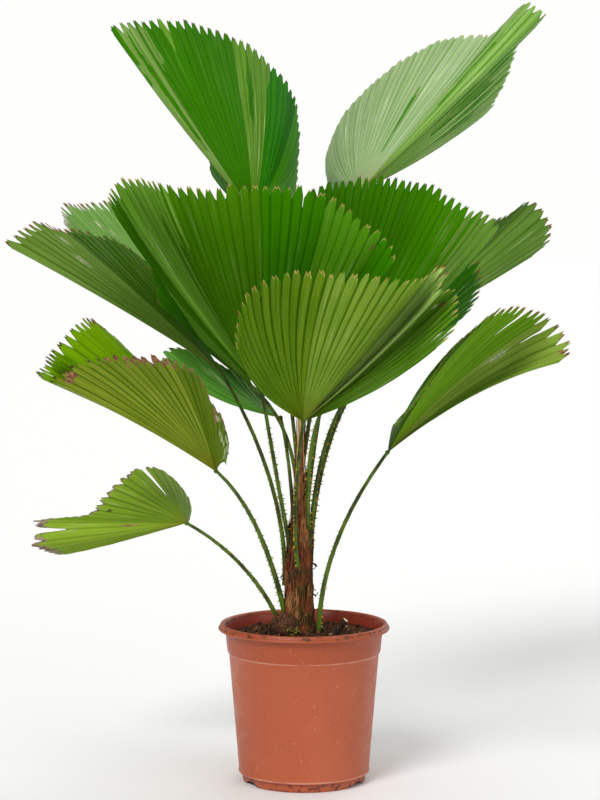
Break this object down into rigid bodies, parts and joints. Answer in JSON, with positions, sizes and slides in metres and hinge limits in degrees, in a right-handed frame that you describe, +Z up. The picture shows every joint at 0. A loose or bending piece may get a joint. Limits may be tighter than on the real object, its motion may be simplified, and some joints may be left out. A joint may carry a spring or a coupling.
{
  "type": "potted ruffled fan palm",
  "caption": "Indoor fan palm with pleated, toothed fan leaves on spiny arching stalks, a short fibrous trunk and a round nursery pot.",
  "frame": {"origin": "middle of the pot's flat underside, on the floor that it stands on", "axes": "+Z up along the trunk, -Y towards the front that the picture shows, +X to the right seen from there"},
  "size_m": [0.6938, 0.7237, 0.9818],
  "materials": {
    "pot_plastic": "terracotta coloured, lightly glossy moulded plastic with a little dirt on its rims",
    "soil": "moist dark peat with bark chips",
    "trunk_fibre": "dry brown fibre and torn leaf sheaths",
    "stalk": "smooth green leaf stalk with small amber spines",
    "leaf": "pleated leaf, glossy above and matt below, with brown tips"
  },
  "bodies": {
    "root": {"pot": "pot_plastic", "soil": "soil", "trunk": "trunk_fibre", "old_base": "trunk_fibre", "root_stub": "trunk_fibre", "stalk_front": "stalk", "stalk_front_left": "stalk", "stalk_left": "stalk", "stalk_left_back": "stalk", "stalk_high_left": "stalk", "stalk_high_right": "stalk", "stalk_right_upper": "stalk", "stalk_right_middle": "stalk", "stalk_right_back": "stalk", "stalk_right_low": "stalk", "stalk_left_low": "stalk", "stalk_left_lowest": "stalk", "stalk_back_low_left": "stalk", "stalk_back": "stalk", "stalk_back_low": "stalk", "fan_front": "leaf", "fan_front_left": "leaf", "fan_left": "leaf", "fan_left_back": "leaf", "fan_high_left": "leaf", "fan_high_right": "leaf", "fan_right_upper": "leaf", "fan_right_middle": "leaf", "fan_right_back": "leaf", "fan_right_low": "leaf", "fan_left_low": "leaf", "fan_left_lowest": "leaf", "fan_back_low_left": "leaf", "fan_back": "leaf", "fan_back_low": "leaf"}
  },
  "joints": []
}
